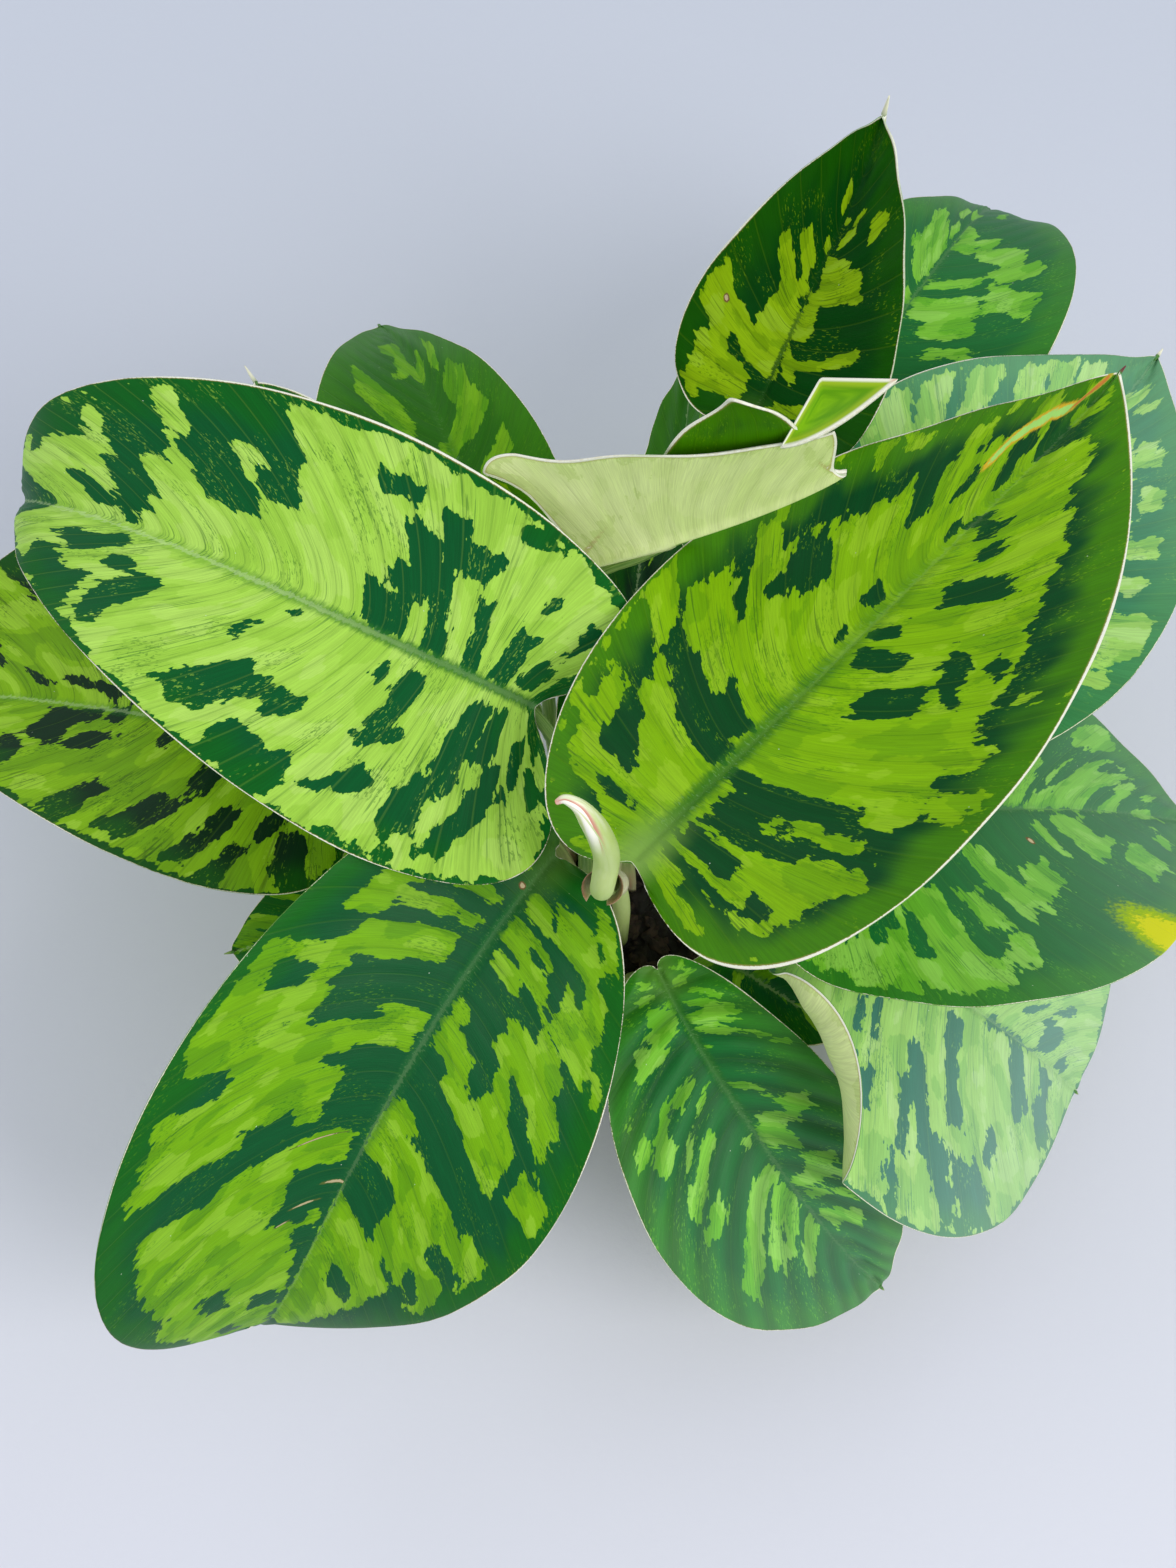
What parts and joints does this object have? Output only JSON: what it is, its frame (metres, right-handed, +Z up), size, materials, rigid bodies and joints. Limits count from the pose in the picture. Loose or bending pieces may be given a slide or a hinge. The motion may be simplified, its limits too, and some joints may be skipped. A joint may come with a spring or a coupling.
{
  "type": "potted homalomena",
  "caption": "Leafy house plant with broad pointed lime-and-green patterned leaves on slender stalks, growing in a small round nursery pot that stands on its flat foot.",
  "frame": {"origin": "centre of the pot's flat underside, on the surface it stands on", "axes": "+Z up along the pot's axis; +Y towards the tall young leaf at the back, -Y towards the side the plant is looked at from; +X to that viewer's right"},
  "size_m": [0.4056, 0.3863, 0.2703],
  "materials": {
    "pot": "matte",
    "soil": "rough",
    "stem": "satin",
    "stalk": "satin",
    "blade": "satin",
    "shoot": "satin"
  },
  "bodies": {
    "root": {"pot": "pot", "soil": "soil", "stem_rear": "stem", "stem_right": "stem", "stem_front": "stem", "leaf_01": "blade", "stalk_01": "stalk", "leaf_02": "blade", "stalk_02": "stalk", "leaf_03": "blade", "stalk_03": "stalk", "leaf_04": "blade", "stalk_04": "stalk", "leaf_05": "blade", "stalk_05": "stalk", "leaf_06": "blade", "stalk_06": "stalk", "leaf_07": "blade", "stalk_07": "stalk", "leaf_08": "blade", "stalk_08": "stalk", "leaf_09": "blade", "stalk_09": "stalk", "leaf_10": "blade", "stalk_10": "stalk", "leaf_11": "blade", "stalk_11": "stalk", "leaf_12": "blade", "stalk_12": "stalk", "leaf_13": "blade", "stalk_13": "stalk", "leaf_14": "blade", "stalk_14": "stalk", "leaf_15": "blade", "stalk_15": "stalk", "leaf_16": "blade", "stalk_16": "stalk", "leaf_17": "blade", "stalk_17": "stalk", "leaf_18": "blade", "stalk_18": "stalk", "new_shoot": "shoot"}
  },
  "joints": []
}
